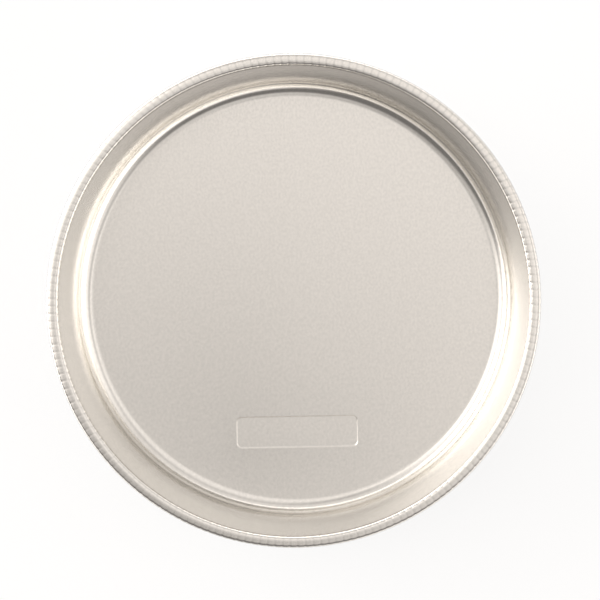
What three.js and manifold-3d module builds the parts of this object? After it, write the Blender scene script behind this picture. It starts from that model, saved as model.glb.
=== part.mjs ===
// A round aluminium cake pan: one drawn sheet whose rim is curled outwards over a steel wire.
// Millimetres, +Z up. The origin is the centre of the underside, and the stamped panel lies towards -Y.
import * as THREE from 'three';
import { mergeVertices } from 'three/addons/utils/BufferGeometryUtils.js';
import Module from 'manifold-3d';

// Driving dimensions of the sheet
const baseInsideDiameter = 228.6; // where the inner faces of floor and wall would meet: a 9 inch pan
const panHeight = 57; // from the underside to the top of the rim
const wallTaper = 3.7; // degrees that the wall leans outwards
const sheetThickness = 0.9;
const cornerRadius = 7.5; // inside, between floor and wall

// Driving dimensions of the rim
const wireDiameter = 4;
const wireClearance = 0.2; // between the wire and the inside of the curl
const wireButtGap = 0.8; // between the two ends of the wire
const curlEdgeGap = 0.5; // between the sheet's edge and the outside of the wall
const curlSquareness = 3.5; // 2 would be round; the rolls flatten the curl's top and sides

// Driving dimensions of the plain panel stamped into the floor
const panelLength = 65;
const panelWidth = 17;
const panelCornerRadius = 3;
const panelDepth = 0.3;
const panelSlope = 0.6; // how far the panel's sloping edge runs inwards
const panelMargin = 27.4; // from the panel's outer long side to the edge of the flat floor

// Facets of the round shapes
const aroundSteps = 96;
const cornerSteps = 6;
const curlSteps = 14;
const wireSides = 12;
const panelCornerSteps = 4;

// The wall's lean, as an angle in the plane of radius and height
const taper = THREE.MathUtils.degToRad(wallTaper);
const floorDown = -Math.PI / 2;
const wallOut = -taper;
const wallIn = Math.PI - taper;

// The corner between floor and wall bends about this point
const cornerCentre = new THREE.Vector2(
  baseInsideDiameter / 2 - (cornerRadius * (1 - Math.sin(taper))) / Math.cos(taper),
  sheetThickness + cornerRadius,
);

// The curl bends about this point, which is also the centre of the wire
const wireRadius = wireDiameter / 2;
const curlInsideRadius = wireRadius + wireClearance;
const curlOutsideRadius = curlInsideRadius + sheetThickness;
const curlCentreHeight = panHeight - curlOutsideRadius;
const curlLean = (curlCentreHeight - sheetThickness) * Math.sin(taper);
const curlCentre = new THREE.Vector2(
  baseInsideDiameter / 2 + (curlOutsideRadius + curlLean) / Math.cos(taper),
  curlCentreHeight,
);

// The curl runs over the top, round and back under, until its edge nearly meets the wall
const curlEdgeShare = (curlInsideRadius - curlEdgeGap) / curlOutsideRadius;
const curlOpening = Math.acos(curlEdgeShare ** (curlSquareness / 2));
const curlEnd = wallIn - 2 * Math.PI + curlOpening;

const wasm = await Module();
wasm.setup();

// A closed geometry as a solid that can be cut
function solidOf(geometry) {
  const bare = geometry.clone();
  bare.deleteAttribute('normal');
  bare.deleteAttribute('uv');
  const merged = mergeVertices(bare);
  return new wasm.Manifold(
    new wasm.Mesh({
      numProp: 3,
      vertProperties: merged.attributes.position.array,
      triVerts: new Uint32Array(merged.index.array),
    }),
  );
}

// One geometry with another cut out of it
function cut(geometry, cutter) {
  const { vertProperties, triVerts } = solidOf(geometry).subtract(solidOf(cutter)).getMesh();
  const result = new THREE.BufferGeometry();
  result.setAttribute('position', new THREE.BufferAttribute(vertProperties, 3));
  result.setIndex(new THREE.BufferAttribute(triVerts, 1));
  result.computeVertexNormals();
  return result;
}

// Points along an arc in the plane of radius and height
function arc(centre, radius, from, to, steps) {
  return Array.from({ length: steps + 1 }, (_, i) => {
    const angle = THREE.MathUtils.lerp(from, to, i / steps);
    return new THREE.Vector2(Math.cos(angle), Math.sin(angle)).multiplyScalar(radius).add(centre);
  });
}

// Points along the curl, round the wire but flattened towards a square
function curl(radius, from, to) {
  const squared = (share) => Math.sign(share) * Math.abs(share) ** (2 / curlSquareness);
  return arc(new THREE.Vector2(), 1, from, to, curlSteps).map(({ x, y }) =>
    new THREE.Vector2(squared(x), squared(y)).multiplyScalar(radius).add(curlCentre),
  );
}

// A profile of radius and height turned about +Z
function turned(profile) {
  return new THREE.LatheGeometry(profile, aroundSteps).rotateX(Math.PI / 2);
}

// The sheet's section, from the centre of the underside round the curl to the centre of the floor
function sheetProfile() {
  return [
    new THREE.Vector2(0, 0),
    ...arc(cornerCentre, cornerRadius + sheetThickness, floorDown, wallOut, cornerSteps),
    ...curl(curlInsideRadius, wallIn, curlEnd),
    ...curl(curlOutsideRadius, curlEnd, wallIn),
    ...arc(cornerCentre, cornerRadius, wallOut, floorDown, cornerSteps),
    new THREE.Vector2(0, sheetThickness),
  ];
}

// What the stamp presses out of the floor's upper face: a rounded panel with sloping edges
function panelStamp() {
  const corner = Math.min(panelCornerRadius, panelWidth / 2, panelLength / 2);
  const cornerX = panelLength / 2 - corner;
  const cornerY = panelWidth / 2 - corner;
  const outline = new THREE.Shape();
  outline.absarc(cornerX, -cornerY, corner, -Math.PI / 2, 0);
  outline.absarc(cornerX, cornerY, corner, 0, Math.PI / 2);
  outline.absarc(-cornerX, cornerY, corner, Math.PI / 2, Math.PI);
  outline.absarc(-cornerX, -cornerY, corner, Math.PI, 1.5 * Math.PI);
  const stamp = new THREE.ExtrudeGeometry(outline, {
    depth: panHeight,
    bevelThickness: panelDepth,
    bevelSize: panelSlope,
    bevelOffset: -panelSlope,
    bevelSegments: 1,
    curveSegments: panelCornerSteps,
  });
  const panelCentreRadius = cornerCentre.x - panelMargin - panelWidth / 2;
  return stamp.translate(0, -panelCentreRadius, sheetThickness);
}

// Floor, corner, wall and curled rim, all one sheet
function panShell() {
  const naturalAluminium = new THREE.MeshStandardMaterial({
    color: 0xd2ccc3,
    roughness: 0.35,
    metalness: 1,
    flatShading: true,
  });
  const shell = new THREE.Mesh(cut(turned(sheetProfile()), panelStamp()), naturalAluminium);
  shell.name = 'pan_shell';
  return shell;
}

// The wire that stiffens the rim, a ring with its ends butted together on the +Y side
function rimWire() {
  const galvanisedSteel = new THREE.MeshStandardMaterial({
    color: 0x9a9da0,
    roughness: 0.45,
    metalness: 1,
    flatShading: true,
  });
  const ring = turned(arc(curlCentre, wireRadius, 0, 2 * Math.PI, wireSides));
  const butt = new THREE.BoxGeometry(wireButtGap, 2 * wireDiameter, 2 * wireDiameter);
  butt.translate(0, curlCentre.x, curlCentre.y);
  const wire = new THREE.Mesh(cut(ring, butt), galvanisedSteel);
  wire.name = 'rim_wire';
  return wire;
}

const cakePan = new THREE.Group();
cakePan.add(panShell(), rimWire());

export default cakePan;
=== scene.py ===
"""Round cake pan: one drawn aluminium sheet whose crimped rim is rolled over a steel wire."""

import logging
import math
from dataclasses import dataclass, field
from enum import Enum
from typing import Any

import bmesh
import bpy
from mathutils import Matrix, Vector
from mathutils.geometry import delaunay_2d_cdt


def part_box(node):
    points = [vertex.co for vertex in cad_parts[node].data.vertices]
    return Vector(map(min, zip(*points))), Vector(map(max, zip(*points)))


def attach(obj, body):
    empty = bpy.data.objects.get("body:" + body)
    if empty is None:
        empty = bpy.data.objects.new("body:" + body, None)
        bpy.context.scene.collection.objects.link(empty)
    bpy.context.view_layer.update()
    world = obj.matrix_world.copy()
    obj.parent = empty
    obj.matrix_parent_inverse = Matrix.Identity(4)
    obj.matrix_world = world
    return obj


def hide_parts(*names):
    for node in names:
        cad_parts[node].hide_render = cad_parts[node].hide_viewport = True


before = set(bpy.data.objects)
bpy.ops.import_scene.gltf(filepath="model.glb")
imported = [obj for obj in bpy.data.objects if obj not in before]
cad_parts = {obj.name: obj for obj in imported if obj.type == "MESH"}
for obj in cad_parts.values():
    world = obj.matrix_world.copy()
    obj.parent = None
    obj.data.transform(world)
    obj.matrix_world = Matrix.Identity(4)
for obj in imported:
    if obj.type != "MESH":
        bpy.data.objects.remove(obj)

log = logging.getLogger("cake_pan")

MM = 0.001
# An edge that turns by more than this is shaded as sharp
SHARP_TURN = math.radians(40)


def linear(hex_colour: str) -> tuple[float, float, float, float]:
    """Turns an sRGB hex colour into Blender's linear RGBA.

    Args:
        hex_colour: Six hex digits, such as "d2ccc3".

    Returns:
        Linear red, green and blue with an alpha of 1.
    """
    channels = [int(hex_colour[i : i + 2], 16) / 255 for i in (0, 2, 4)]
    red, green, blue = (c / 12.92 if c <= 0.04045 else ((c + 0.055) / 1.055) ** 2.4 for c in channels)
    return red, green, blue, 1.0


def smooth_step(share: float) -> float:
    """A smooth ramp from 0 at a share of 0 to 1 at a share of 1."""
    held = min(max(share, 0.0), 1.0)
    return held * held * (3 - 2 * held)


def add(
    tree: bpy.types.NodeTree, kind: str, inputs: dict[str | int, Any] | None = None, **settings: Any
) -> bpy.types.Node:
    """Adds a node to a tree, with its settings, its values and its links.

    Args:
        tree: The tree that gets the node.
        kind: The node's type name.
        inputs: Input name or index to a value, an output socket, or a node whose first output is linked.
        settings: The node's own properties.

    Returns:
        The new node.
    """
    node = tree.nodes.new(kind)
    for name, value in settings.items():
        setattr(node, name, value)
    for key, value in (inputs or {}).items():
        live = (socket for socket in node.inputs if socket.enabled and socket.name == key)
        socket = node.inputs[key] if isinstance(key, int) else next(live)
        if isinstance(value, bpy.types.Node):
            value = next(output for output in value.outputs if output.enabled)
        if isinstance(value, bpy.types.NodeSocket):
            tree.links.new(value, socket)
        else:
            socket.default_value = value
    return node


def new_tree(name: str, inputs: dict[str, str]) -> bpy.types.NodeTree:
    """Starts a Geometry Nodes tree that gives a geometry.

    Args:
        name: The tree's name.
        inputs: Input name to socket type.

    Returns:
        The tree, without nodes.
    """
    tree = bpy.data.node_groups.new(name, "GeometryNodeTree")
    tree.interface.new_socket("Geometry", in_out="OUTPUT", socket_type="NodeSocketGeometry")
    for label, kind in inputs.items():
        tree.interface.new_socket(label, in_out="INPUT", socket_type=kind)
    return tree


def grown(
    name: str, start: bpy.types.Mesh, tree: bpy.types.NodeTree, sizes: dict[str, Any]
) -> bpy.types.Object:
    """Runs a Geometry Nodes tree and keeps its result as a plain mesh.

    Args:
        name: The new object's name.
        start: The mesh that the tree starts from.
        tree: The Geometry Nodes tree.
        sizes: Input name to value.

    Returns:
        An object in the scene, at the origin, with the grown mesh and no modifier.
    """
    piece = bpy.data.objects.new(name, start)
    bpy.context.scene.collection.objects.link(piece)
    modifier = piece.modifiers.new("grow", "NODES")
    modifier.node_group = tree
    for socket in tree.interface.items_tree:
        if socket.in_out == "INPUT" and socket.name in sizes:
            modifier[socket.identifier] = sizes[socket.name]
    depsgraph = bpy.context.evaluated_depsgraph_get()
    mesh = bpy.data.meshes.new_from_object(piece.evaluated_get(depsgraph))
    mesh.name = name
    piece.modifiers.remove(modifier)
    piece.data = mesh
    return piece


class SheetFace(Enum):
    """The two faces of the sheet."""

    INSIDE = "towards the cake"
    OUTSIDE = "towards the oven rack"


@dataclass(frozen=True)
class NaturalAluminium:
    """Uncoated aluminium sheet, rolled and then drawn in a press.

    The bare metal gives a warm grey satin that blurs what it mirrors, with a fine speckle of mill grain and
    faint clouds. The crimping rolls scuff the bead's edges, the crimp grooves are darkened with painted
    shade, and the stamp dulls the bottom of its panel.
    """

    colour: str = "e6e4e0"
    grain_colour: str = "e0deda"
    # Painted shade in the crimp grooves, mixed in where the groove attribute is high
    groove_shade_colour: str = "dad8d4"
    roughness: float = 0.2
    # How much rougher the crimped bead and the bottom of the panel are
    scuff: float = 0.04
    dulling: float = 0.06
    # Mill grain is about 0.05 mm wide, too fine for a pixel, so it is drawn 1.1 mm wide to show
    grain: float = 1.1 * MM
    grain_detail: float = 2.0
    # The noise values at which the grain's two colours are reached
    grain_ends: tuple[float, float] = (0.35, 0.65)
    # Rolling draws the grain out along Y, and pressing draws it out up the wall
    grain_stretch: Vector = field(default_factory=lambda: Vector((1, 1.4, 4)))
    cloud: float = 35 * MM
    cloud_detail: float = 3.0
    # How far the clouds move the roughness, either way
    cloudiness: float = 0.02

    def material(self) -> bpy.types.Material:
        """Builds the material.

        Returns:
            The finished material.
        """
        made = bpy.data.materials.new("natural_drawn_aluminium")
        made.use_nodes = True
        tree = made.node_tree
        shader = tree.nodes["Principled BSDF"]
        shader.inputs["Metallic"].default_value = 1.0
        place = add(tree, "ShaderNodeTexCoord").outputs["Object"]
        drawn_out = [1 / (self.grain * stretch) for stretch in self.grain_stretch]
        grain_place = add(tree, "ShaderNodeMapping", {"Vector": place, "Scale": drawn_out})
        grain = add(
            tree,
            "ShaderNodeTexNoise",
            {"Vector": grain_place, "Scale": 1.0, "Detail": self.grain_detail},
        )
        speckle = add(tree, "ShaderNodeValToRGB", {"Fac": grain})
        for element, position, colour in zip(
            speckle.color_ramp.elements, self.grain_ends, (self.grain_colour, self.colour)
        ):
            element.position = position
            element.color = linear(colour)
        # Painted shade: the crimp grooves are darkened by the groove attribute
        groove = add(tree, "ShaderNodeAttribute", attribute_name="groove").outputs["Fac"]
        metal = add(
            tree,
            "ShaderNodeMix",
            {"Factor": groove, "A": speckle, "B": linear(self.groove_shade_colour)},
            data_type="RGBA",
        )
        tree.links.new(metal.outputs["Result"], shader.inputs["Base Color"])
        cloud = add(
            tree,
            "ShaderNodeTexNoise",
            {"Vector": place, "Scale": 1 / self.cloud, "Detail": self.cloud_detail},
        )
        low, high = self.roughness - self.cloudiness, self.roughness + self.cloudiness
        rough = add(tree, "ShaderNodeMapRange", {"Value": cloud, "To Min": low, "To Max": high})
        for layer, change in (("crimped", self.scuff), ("stamped", self.dulling)):
            mask = add(tree, "ShaderNodeAttribute", attribute_name=layer).outputs["Fac"]
            rough = add(tree, "ShaderNodeMath", {0: mask, 1: change, 2: rough}, operation="MULTIPLY_ADD")
        tree.links.new(rough.outputs[0], shader.inputs["Roughness"])
        return made


@dataclass(frozen=True)
class GalvanisedSteel:
    """Steel wire dipped in zinc: a dull blue grey, mottled by the zinc's crystals."""

    colour: str = "a4a8aa"
    crystal_colour: str = "8b9093"
    roughness: float = 0.45
    crystal: float = 1.5 * MM

    def material(self) -> bpy.types.Material:
        """Builds the material.

        Returns:
            The finished material.
        """
        made = bpy.data.materials.new("galvanised_steel_wire")
        made.use_nodes = True
        tree = made.node_tree
        shader = tree.nodes["Principled BSDF"]
        shader.inputs["Metallic"].default_value = 1.0
        shader.inputs["Roughness"].default_value = self.roughness
        place = add(tree, "ShaderNodeTexCoord").outputs["Object"]
        crystals = add(tree, "ShaderNodeTexVoronoi", {"Vector": place, "Scale": 1 / self.crystal})
        mottle = add(tree, "ShaderNodeValToRGB", {"Fac": crystals.outputs["Distance"]})
        for element, colour in zip(mottle.color_ramp.elements, (self.colour, self.crystal_colour)):
            element.color = linear(colour)
        tree.links.new(mottle.outputs["Color"], shader.inputs["Base Color"])
        return made


@dataclass
class PanShell:
    """The drawn sheet: floor, rounded corner, tapered wall and crimped rim curl, all one piece."""

    sheet_thickness: float = 0.9 * MM
    corner_radius: float = 7.5 * MM
    corner_steps: int = 14
    wall_taper: float = math.radians(3.7)
    # How far in from each end of the wall an extra point lies, as a share of the wall
    wall_end: float = 0.08
    wire_clearance: float = 0.2 * MM
    curl_edge_gap: float = 0.5 * MM
    # 2 would be round: the rolls flatten the curl's top and sides
    curl_squareness: float = 3.5
    curl_steps: int = 22
    # How far a point may miss the equation of the curl's outer side and still be crimped
    curl_tolerance: float = 0.01
    # Steps of the corner and the curl on the sheet's outer face, which shows less
    outer_face_steps: int = 7
    crimps: int = 200
    steps_per_crimp: int = 8
    crimp_depth: float = 0.14 * MM
    # The share of that depth left on the curl's flat top
    top_share: float = 0.06
    # How far the flat top reaches, and how far the crimps fade beside the wall, in curl radii
    top_reach: float = 0.15
    crimp_fade: float = 0.12
    # From a groove's middle to its edge, and how far it may lie astray, in crimps
    groove_width: float = 0.2
    groove_slip: float = 0.04
    # The shallowest and the deepest groove, in crimp depths
    shallowest: float = 0.6
    deepest: float = 1.2
    panel_length: float = 65 * MM
    panel_width: float = 17 * MM
    panel_corner_radius: float = 3 * MM
    panel_corner_steps: int = 8
    panel_depth: float = 0.3 * MM
    panel_slope: float = 0.6 * MM
    # Where rings of points follow the panel's edge, as shares of its slope
    panel_rings: tuple[float, ...] = (-0.25, 0.0, 0.15, 0.3, 0.5, 0.7, 0.85, 1.0, 1.25)
    panel_margin: float = 27.4 * MM
    # Points of the floor closer than this would be joined
    joining_distance: float = 1e-7
    seed: int = 7
    finish: NaturalAluminium = field(default_factory=NaturalAluminium)

    def __post_init__(self) -> None:
        """Works out the bead, the base and the corner from the wire in the frame."""
        wire_low, wire_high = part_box("rim_wire")
        wire_radius = (wire_high.z - wire_low.z) / 2
        self.curl_inside = wire_radius + self.wire_clearance
        self.curl_outside = self.curl_inside + self.sheet_thickness
        self.bead = Vector((wire_high.x - wire_radius, (wire_low.z + wire_high.z) / 2))
        lean = (self.bead.y - self.sheet_thickness) * math.sin(self.wall_taper)
        base_radius = self.bead.x - (self.curl_outside + lean) / math.cos(self.wall_taper)
        inset = self.corner_radius * (1 - math.sin(self.wall_taper)) / math.cos(self.wall_taper)
        self.corner = Vector((base_radius - inset, self.sheet_thickness + self.corner_radius))

    def build(self) -> bpy.types.Object:
        """Builds the shell: its section is swept round the pan, and the floor is closed.

        Returns:
            The finished object.
        """
        points = self.section()
        mesh = bpy.data.meshes.new("sheet_section")
        # Curve to Mesh lays a profile's X outwards and its Y downwards
        mesh.from_pydata(
            [(p.x - self.bead.x, self.bead.y - p.y, 0) for p in points],
            [(i, i + 1) for i in range(len(points) - 1)],
            [],
        )
        crimped = mesh.attributes.new("crimped", "FLOAT", "POINT")
        crimped.data.foreach_set("value", [self.crimp_share(p) for p in points])
        shell = grown(
            "drawn_shell",
            mesh,
            crimped_sheet_tree(),
            {
                "Crimps": self.crimps,
                "Steps per Crimp": self.steps_per_crimp,
                "Crimp Depth": self.crimp_depth,
                "Groove Width": self.groove_width,
                "Groove Slip": self.groove_slip,
                "Shallowest": self.shallowest,
                "Deepest": self.deepest,
                "Bead Radius": self.bead.x,
                "Bead Height": self.bead.y,
                "Curl Radius": self.curl_outside,
                "Seed": self.seed,
                "Material": self.finish.material(),
            },
        )
        self.close_floor(shell.data)
        return shell

    def dress(self, shell: bpy.types.Object) -> None:
        """Ties the shell to the frame.

        Args:
            shell: The finished object.
        """
        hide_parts("pan_shell")
        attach(shell, "root")

    def arc(self, centre: Vector, radius: float, start: float, end: float, steps: int) -> list[Vector]:
        """Points along an arc.

        Args:
            centre: The arc's centre.
            radius: The arc's radius.
            start: First angle.
            end: Last angle.
            steps: Number of steps.

        Returns:
            The points, both ends included.
        """
        angles = [start + (end - start) * i / steps for i in range(steps + 1)]
        return [centre + Vector((math.cos(a), math.sin(a))) * radius for a in angles]

    def corner_arc(self, face: SheetFace) -> list[Vector]:
        """The rounded corner of one face of the sheet, from the floor to the wall.

        Args:
            face: Which face of the sheet.

        Returns:
            Points of an arc.
        """
        radius, steps = self.corner_radius, self.corner_steps
        if face is SheetFace.OUTSIDE:
            radius, steps = self.corner_radius + self.sheet_thickness, self.outer_face_steps
        return self.arc(self.corner, radius, -math.pi / 2, -self.wall_taper, steps)

    def curl_arc(self, face: SheetFace) -> list[Vector]:
        """The curl of one face of the sheet, from the wall over the top and back under.

        Args:
            face: Which face of the sheet.

        Returns:
            Points of an arc, flattened towards a square.
        """
        radius, steps = self.curl_outside, self.curl_steps
        if face is SheetFace.OUTSIDE:
            radius, steps = self.curl_inside, self.outer_face_steps
        start = math.pi - self.wall_taper
        edge_share = (self.curl_inside - self.curl_edge_gap) / self.curl_outside
        opening = math.acos(edge_share ** (self.curl_squareness / 2))
        points = []
        for share in self.arc(Vector((0, 0)), 1.0, start, start - 2 * math.pi + opening, steps):
            squared = [math.copysign(abs(s) ** (2 / self.curl_squareness), s) for s in share]
            points.append(self.bead + Vector(squared) * radius)
        return points

    def section(self) -> list[Vector]:
        """The sheet's section from the floor's upper face, round the curl, to the floor's underside.

        Returns:
            Points as radius and height.
        """
        points = []
        for face in SheetFace:
            corner, curl = self.corner_arc(face), self.curl_arc(face)
            # Points near the wall's two ends keep the wall flat between them
            wall = [corner[-1].lerp(curl[0], share) for share in (self.wall_end, 1 - self.wall_end)]
            side = corner + wall + curl
            points += side if face is SheetFace.INSIDE else reversed(side)
        return points

    def crimp_share(self, point: Vector) -> float:
        """How deep the crimps are at a point of the section.

        Args:
            point: A point, as radius and height.

        Returns:
            1 on the flanks of the curl, less on its flat top, fading to 0 at the wall, and 0 elsewhere.
        """
        reach = (point - self.bead) / self.curl_outside
        off_curl = abs(reach.x) ** self.curl_squareness + abs(reach.y) ** self.curl_squareness - 1
        if abs(off_curl) > self.curl_tolerance:
            return 0.0
        flank = smooth_step((abs(reach.x) - self.top_reach) / (1 - self.top_reach))
        share = self.top_share + (1 - self.top_share) * flank
        return share * smooth_step((reach.x + 1) / self.crimp_fade)

    def close_floor(self, mesh: bpy.types.Mesh) -> None:
        """Fills the two open rings of the swept sheet: a plain underside, and a floor with its panel.

        Args:
            mesh: The swept sheet's mesh, changed in place.
        """
        bm = bmesh.new()
        bm.from_mesh(mesh)
        stamped = bm.verts.layers.float.new("stamped")
        open_edge = sorted((v for v in bm.verts if v.is_boundary), key=lambda v: math.atan2(v.co.y, v.co.x))
        under = [v for v in open_edge if v.co.z < self.sheet_thickness / 2]
        upper = [v for v in open_edge if v.co.z > self.sheet_thickness / 2]
        hub = bm.verts.new((0, 0, 0))
        for this, following in zip(under, under[1:] + under[:1]):
            bm.faces.new((hub, following, this))
        loops = [upper, *self.panel_loops(bm, stamped)]
        verts = [v for loop in loops for v in loop]
        edges = []
        for loop in loops:
            first = len(edges)
            edges += [(first + i, first + (i + 1) % len(loop)) for i in range(len(loop))]
        # An output type of 0 fills the whole floor with triangles, the panel too
        flat = [v.co.to_2d() for v in verts]
        _, _, faces, sources, _, _ = delaunay_2d_cdt(flat, edges, [], 0, self.joining_distance)
        for face in faces:
            bm.faces.new([verts[sources[i][0]] for i in face])
        for face in bm.faces:
            face.smooth = True
        bm.to_mesh(mesh)
        bm.free()
        mesh.set_sharp_from_angle(angle=SHARP_TURN)

    def panel_loops(
        self, bm: bmesh.types.BMesh, stamped: bmesh.types.BMLayerItem
    ) -> list[list[bmesh.types.BMVert]]:
        """Rings of vertices down the stamped panel's sloping edge.

        Args:
            bm: The mesh that gets the vertices.
            stamped: The vertex layer that is 1 on the panel's bottom.

        Returns:
            The rings, from the floor to the panel's bottom.
        """
        centre = Vector((0, -(self.corner.x - self.panel_margin - self.panel_width / 2)))
        loops = []
        for share in self.panel_rings:
            drop = smooth_step(share)
            loops.append([])
            for point in self.panel_outline(share * self.panel_slope):
                height = self.sheet_thickness - drop * self.panel_depth
                vert = bm.verts.new((*(centre + point), height))
                vert[stamped] = drop
                loops[-1].append(vert)
        return loops

    def panel_outline(self, inset: float) -> list[Vector]:
        """The panel's rounded outline, drawn in by some distance.

        Args:
            inset: How far inside the full outline.

        Returns:
            Points about the panel's centre, counter-clockwise.
        """
        radius = self.panel_corner_radius - inset
        corner_x = self.panel_length / 2 - self.panel_corner_radius
        corner_y = self.panel_width / 2 - self.panel_corner_radius
        points = []
        for quarter, (side_x, side_y) in enumerate(((1, 1), (-1, 1), (-1, -1), (1, -1))):
            centre = Vector((side_x * corner_x, side_y * corner_y))
            start = quarter * math.pi / 2
            points += self.arc(centre, radius, start, start + math.pi / 2, self.panel_corner_steps)
        return points


def crimped_sheet_tree() -> bpy.types.NodeTree:
    """The tree that sweeps a section round the pan and rolls crimps across its bead.

    Returns:
        A Geometry Nodes tree with named sizes.
    """
    tree = new_tree(
        "crimped_sheet",
        {
            "Section": "NodeSocketGeometry",
            "Crimps": "NodeSocketInt",
            "Steps per Crimp": "NodeSocketInt",
            "Crimp Depth": "NodeSocketFloat",
            "Groove Width": "NodeSocketFloat",
            "Groove Slip": "NodeSocketFloat",
            "Shallowest": "NodeSocketFloat",
            "Deepest": "NodeSocketFloat",
            "Bead Radius": "NodeSocketFloat",
            "Bead Height": "NodeSocketFloat",
            "Curl Radius": "NodeSocketFloat",
            "Seed": "NodeSocketInt",
            "Material": "NodeSocketMaterial",
        },
    )
    given = add(tree, "NodeGroupInput").outputs
    steps = add(
        tree,
        "ShaderNodeMath",
        {0: given["Crimps"], 1: given["Steps per Crimp"]},
        operation="MULTIPLY",
    )
    path = add(
        tree,
        "GeometryNodeCurvePrimitiveCircle",
        {"Resolution": steps, "Radius": given["Bead Radius"]},
        mode="RADIUS",
    )
    section = add(tree, "GeometryNodeMeshToCurve", {"Mesh": given["Section"]})
    sheet = add(tree, "GeometryNodeCurveToMesh", {"Curve": path, "Profile Curve": section})

    # How far a point lies from the nearest groove, in crimps, with each groove rolled a little astray
    here = add(tree, "GeometryNodeInputPosition")
    parts = add(tree, "ShaderNodeSeparateXYZ", {0: here}).outputs
    angle = add(tree, "ShaderNodeMath", {0: parts["Y"], 1: parts["X"]}, operation="ARCTAN2")
    crimps_per_radian = add(
        tree, "ShaderNodeMath", {0: given["Crimps"], 1: 2 * math.pi}, operation="DIVIDE"
    )
    place = add(tree, "ShaderNodeMath", {0: angle, 1: crimps_per_radian}, operation="MULTIPLY")
    nearest = add(tree, "ShaderNodeMath", {0: place}, operation="ROUND")
    crimp = add(tree, "ShaderNodeMath", {0: nearest, 1: given["Crimps"]}, operation="FLOORED_MODULO")
    backwards = add(tree, "ShaderNodeMath", {0: given["Groove Slip"], 1: -1.0}, operation="MULTIPLY")
    slip = add(
        tree,
        "FunctionNodeRandomValue",
        {"Min": backwards, "Max": given["Groove Slip"], "ID": crimp, "Seed": given["Seed"]},
        data_type="FLOAT",
    )
    middle = add(tree, "ShaderNodeMath", {0: nearest, 1: slip}, operation="ADD")
    signed = add(tree, "ShaderNodeMath", {0: place, 1: middle}, operation="SUBTRACT")
    away = add(tree, "ShaderNodeMath", {0: signed}, operation="ABSOLUTE")

    # The bead sinks towards its own centre line in each groove, more in some than in others
    groove = add(
        tree,
        "ShaderNodeMapRange",
        {"Value": away, "From Max": given["Groove Width"], "To Min": 1.0, "To Max": 0.0},
        interpolation_type="SMOOTHSTEP",
    )
    depth_seed = add(tree, "ShaderNodeMath", {0: given["Seed"], 1: 1.0}, operation="ADD")
    depth = add(
        tree,
        "FunctionNodeRandomValue",
        {"Min": given["Shallowest"], "Max": given["Deepest"], "ID": crimp, "Seed": depth_seed},
        data_type="FLOAT",
    )
    crimped = add(tree, "GeometryNodeInputNamedAttribute", {"Name": "crimped"}, data_type="FLOAT")
    sink = add(
        tree,
        "ShaderNodeMath",
        {0: given["Crimp Depth"], 1: given["Curl Radius"]},
        operation="DIVIDE",
    )
    for factor in (groove, depth, crimped):
        sink = add(tree, "ShaderNodeMath", {0: sink, 1: factor}, operation="MULTIPLY")
    flat = add(tree, "ShaderNodeVectorMath", {0: here, 1: (1, 1, 0)}, operation="MULTIPLY")
    outward = add(tree, "ShaderNodeVectorMath", {0: flat}, operation="NORMALIZE")
    centre_line = add(
        tree, "ShaderNodeVectorMath", {0: outward, "Scale": given["Bead Radius"]}, operation="SCALE"
    )
    sunk = add(tree, "ShaderNodeMix", {"Factor": sink, "A": here, "B": centre_line}, data_type="VECTOR")
    rise = add(tree, "ShaderNodeCombineXYZ", {"Z": given["Bead Height"]})
    placed = add(tree, "GeometryNodeSetPosition", {"Geometry": sheet, "Position": sunk, "Offset": rise})

    # The finish darkens the grooves with painted shade, found by an attribute that is 0 off the bead
    on_bead = add(tree, "ShaderNodeMath", {0: crimped, 1: 0.0}, operation="GREATER_THAN")
    groove_shade = add(tree, "ShaderNodeMath", {0: groove, 1: on_bead}, operation="MULTIPLY")
    marked = add(
        tree,
        "GeometryNodeStoreNamedAttribute",
        {"Geometry": placed, "Name": "groove", "Value": groove_shade},
        data_type="FLOAT",
    )
    whole = add(tree, "GeometryNodeRealizeInstances", {"Geometry": marked})
    dressed = add(tree, "GeometryNodeSetMaterial", {"Geometry": whole, "Material": given["Material"]})
    add(tree, "NodeGroupOutput", {"Geometry": dressed})
    return tree


@dataclass
class RimWire:
    """The steel wire inside the curl, its ends butted together on the +Y side."""

    butt_gap: float = 0.8 * MM
    sides: int = 24
    steps: int = 360
    finish: GalvanisedSteel = field(default_factory=GalvanisedSteel)

    def build(self) -> bpy.types.Object:
        """Builds the wire.

        Returns:
            The finished object.
        """
        low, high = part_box("rim_wire")
        radius = (high.z - low.z) / 2
        ring = high.x - radius
        gap = self.butt_gap / ring
        wire = grown(
            "reinforcing_wire",
            bpy.data.meshes.new("wire_start"),
            bent_wire_tree(),
            {
                "Ring Radius": ring,
                "Ring Height": (low.z + high.z) / 2,
                "Wire Radius": radius,
                "Start": (math.pi + gap) / 2,
                "Sweep": 2 * math.pi - gap,
                "Steps": self.steps,
                "Sides": self.sides,
                "Material": self.finish.material(),
            },
        )
        wire.data.set_sharp_from_angle(angle=SHARP_TURN)
        return wire

    def dress(self, wire: bpy.types.Object) -> None:
        """Ties the wire to the frame.

        Args:
            wire: The finished object.
        """
        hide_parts("rim_wire")
        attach(wire, "root")


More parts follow.
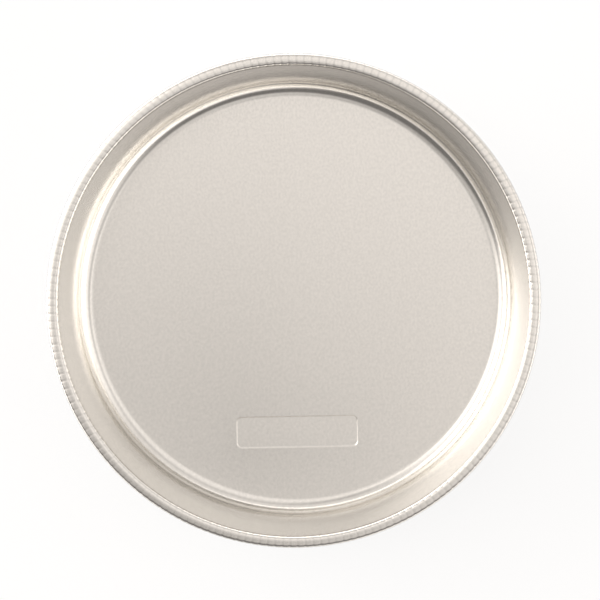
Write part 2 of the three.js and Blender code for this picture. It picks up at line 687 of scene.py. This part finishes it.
def bent_wire_tree() -> bpy.types.NodeTree:
    """The tree that bends a round wire into an open ring with flat ends.

    Returns:
        A Geometry Nodes tree with named sizes.
    """
    tree = new_tree(
        "bent_wire",
        {
            "Start Mesh": "NodeSocketGeometry",
            "Ring Radius": "NodeSocketFloat",
            "Ring Height": "NodeSocketFloat",
            "Wire Radius": "NodeSocketFloat",
            "Start": "NodeSocketFloat",
            "Sweep": "NodeSocketFloat",
            "Steps": "NodeSocketInt",
            "Sides": "NodeSocketInt",
            "Material": "NodeSocketMaterial",
        },
    )
    given = add(tree, "NodeGroupInput").outputs
    path = add(
        tree,
        "GeometryNodeCurveArc",
        {
            "Resolution": given["Steps"],
            "Radius": given["Ring Radius"],
            "Start Angle": given["Start"],
            "Sweep Angle": given["Sweep"],
        },
        mode="RADIUS",
    )
    outline = add(
        tree,
        "GeometryNodeCurvePrimitiveCircle",
        {"Resolution": given["Sides"], "Radius": given["Wire Radius"]},
        mode="RADIUS",
    )
    wire = add(
        tree,
        "GeometryNodeCurveToMesh",
        {"Curve": path, "Profile Curve": outline, "Fill Caps": True},
    )
    rise = add(tree, "ShaderNodeCombineXYZ", {"Z": given["Ring Height"]})
    placed = add(tree, "GeometryNodeSetPosition", {"Geometry": wire, "Offset": rise})
    whole = add(tree, "GeometryNodeRealizeInstances", {"Geometry": placed})
    dressed = add(tree, "GeometryNodeSetMaterial", {"Geometry": whole, "Material": given["Material"]})
    add(tree, "NodeGroupOutput", {"Geometry": dressed})
    return tree


class BoxShape(Enum):
    """How a soft box's reach is measured from its middle."""

    STRIP = "one reach along the horizon and one upwards"
    ROUND = "one reach all round"


@dataclass(frozen=True)
class SoftBox:
    """One soft panel of the light tent, as the pan sees it, in degrees.

    It is brightest in the middle, and its light fades to nothing at its reach. Azimuth runs from +X to +Y.
    """

    shape: BoxShape
    azimuth: float
    elevation: float
    reaches: tuple[float, ...]
    strength: float

    def toward(self) -> Vector:
        """The direction of the box's middle.

        Returns:
            A vector of length 1.
        """
        azimuth, elevation = math.radians(self.azimuth), math.radians(self.elevation)
        level = math.cos(elevation)
        return Vector((level * math.cos(azimuth), level * math.sin(azimuth), math.sin(elevation)))


@dataclass
class Studio:
    """Camera, floor and light tent."""

    camera_place: Vector = field(default_factory=lambda: Vector((10.3, 26.2, 864.4)) * MM)
    camera_target: Vector = field(default_factory=lambda: Vector((3.1, 0, 30)) * MM)
    # The panel's long side rises a little to the right
    camera_up: Vector = field(default_factory=lambda: Vector((0.019, 1, 0)))
    lens: float = 97.1
    sensor: float = 36.0
    floor_colour: str = "fdfdfd"
    floor_glow: float = 0.8
    floor_reach: float = 3.0
    # The paper lies just below the pan's flat underside, so that the two faces stay apart
    floor_drop: float = 0.05 * MM
    paper_roughness: float = 0.9
    lamp_colour: str = "fff9f4"
    tent_glow: float = 0.2
    soft_boxes: tuple[SoftBox, ...] = (
        # Over the pan, mirrored mostly by its floor
        SoftBox(BoxShape.ROUND, 60, 76, (30,), 0.9),
        # High at the left, mirrored mostly by the wall at the right
        SoftBox(BoxShape.ROUND, 185, 60, (25,), 0.5),
        SoftBox(BoxShape.STRIP, 158, 61, (50, 21), 1.3),
        # High in front, mirrored mostly by the wall at the back
        SoftBox(BoxShape.STRIP, 305, 68, (100, 14), 0.58),
        # Lower down, mirrored mostly by the rounded corner and the bead's inner edge
        SoftBox(BoxShape.STRIP, 350, 36, (50, 26), 0.75),
        SoftBox(BoxShape.STRIP, 160, 23, (40, 20), 3.3),
        SoftBox(BoxShape.STRIP, 70, 20, (130, 45), 0.75),
        SoftBox(BoxShape.STRIP, 318, 9, (68, 21), 1.35),
        # On the horizon, mirrored mostly by the bead's two edges
        SoftBox(BoxShape.STRIP, 130, 2, (95, 20), 3.4),
        SoftBox(BoxShape.STRIP, 205, 0, (50, 20), 2.3),
    )

    def build(self) -> None:
        """Makes the camera, the floor and the light."""
        self.camera()
        self.floor()
        self.light()

    def camera(self) -> None:
        """Makes the camera, looking almost straight down with +Y at the top of the picture."""
        data = bpy.data.cameras.new("camera")
        data.lens = self.lens
        data.sensor_width = self.sensor
        camera = bpy.data.objects.new("camera", data)
        back = (self.camera_place - self.camera_target).normalized()
        right = self.camera_up.cross(back).normalized()
        turned = Matrix((right, back.cross(right), back)).transposed().to_4x4()
        camera.matrix_world = Matrix.Translation(self.camera_place) @ turned
        bpy.context.scene.collection.objects.link(camera)
        bpy.context.scene.camera = camera

    def floor(self) -> None:
        """Makes the white paper floor that the pan stands on."""
        reach = self.floor_reach
        mesh = bpy.data.meshes.new("floor")
        corners = [(-reach, -reach, 0), (reach, -reach, 0), (reach, reach, 0), (-reach, reach, 0)]
        mesh.from_pydata(corners, [], [(0, 1, 2, 3)])
        paper = bpy.data.materials.new("white_paper")
        paper.use_nodes = True
        tree = paper.node_tree
        shader = tree.nodes["Principled BSDF"]
        shader.inputs["Base Color"].default_value = linear(self.floor_colour)
        shader.inputs["Roughness"].default_value = self.paper_roughness
        # Part of the paper's white is its own, wherever it is seen, and the rest takes light and shadow
        path = add(tree, "ShaderNodeLightPath").outputs
        seen = path["Is Camera Ray"]
        for ray in ("Is Glossy Ray", "Is Transmission Ray"):
            seen = add(tree, "ShaderNodeMath", {0: seen, 1: path[ray]}, operation="MAXIMUM").outputs[0]
        share = add(tree, "ShaderNodeMath", {0: seen, 1: self.floor_glow}, operation="MULTIPLY")
        white = add(tree, "ShaderNodeEmission")
        paper_light = add(tree, "ShaderNodeMixShader", {"Fac": share, 1: shader, 2: white})
        tree.links.new(paper_light.outputs[0], tree.nodes["Material Output"].inputs["Surface"])
        mesh.materials.append(paper)
        floor = bpy.data.objects.new("floor", mesh)
        floor.location.z = -self.floor_drop
        bpy.context.scene.collection.objects.link(floor)

    def light(self) -> None:
        """Makes the light tent as the world, with soft boxes on its sides and top."""
        world = bpy.data.worlds.new("light_tent")
        bpy.context.scene.world = world
        world.use_nodes = True
        tree = world.node_tree
        toward = add(tree, "ShaderNodeTexCoord").outputs["Generated"]
        parts = add(tree, "ShaderNodeSeparateXYZ", {0: toward}).outputs
        azimuth = add(tree, "ShaderNodeMath", {0: parts["Y"], 1: parts["X"]}, operation="ARCTAN2")
        elevation = add(tree, "ShaderNodeMath", {0: parts["Z"]}, operation="ARCSINE")
        total = self.tent_glow
        for box in self.soft_boxes:
            # The cosine of the angle from the box's middle, for each of its reaches
            cosines = []
            if box.shape is BoxShape.ROUND:
                ends = {0: toward, 1: box.toward()}
                cosines.append(add(tree, "ShaderNodeVectorMath", ends, operation="DOT_PRODUCT"))
            else:
                for seen, middle in ((azimuth, box.azimuth), (elevation, box.elevation)):
                    ends = {0: seen, 1: math.radians(middle)}
                    angle = add(tree, "ShaderNodeMath", ends, operation="SUBTRACT")
                    cosines.append(add(tree, "ShaderNodeMath", {0: angle}, operation="COSINE"))
            glow = box.strength
            for cosine, reach in zip(cosines, box.reaches):
                edge = math.cos(math.radians(reach))
                glow = add(
                    tree,
                    "ShaderNodeMapRange",
                    {"Value": cosine, "From Min": edge, "From Max": 1.0, "To Max": glow},
                    interpolation_type="SMOOTHSTEP",
                )
            total = add(tree, "ShaderNodeMath", {0: glow, 1: total}, operation="ADD")
        tree.links.new(total.outputs[0], tree.nodes["Background"].inputs["Strength"])
        tree.nodes["Background"].inputs["Color"].default_value = linear(self.lamp_colour)


def main() -> None:
    """Builds the pan and the studio."""
    logging.basicConfig(level=logging.INFO, format="%(name)s: %(message)s")
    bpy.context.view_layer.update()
    bpy.context.scene.view_settings.view_transform = "Standard"
    for part in (PanShell(), RimWire()):
        piece = part.build()
        part.dress(piece)
        log.info("%s: %d faces", piece.name, len(piece.data.polygons))
    Studio().build()


if __name__ == "__main__":
    main()
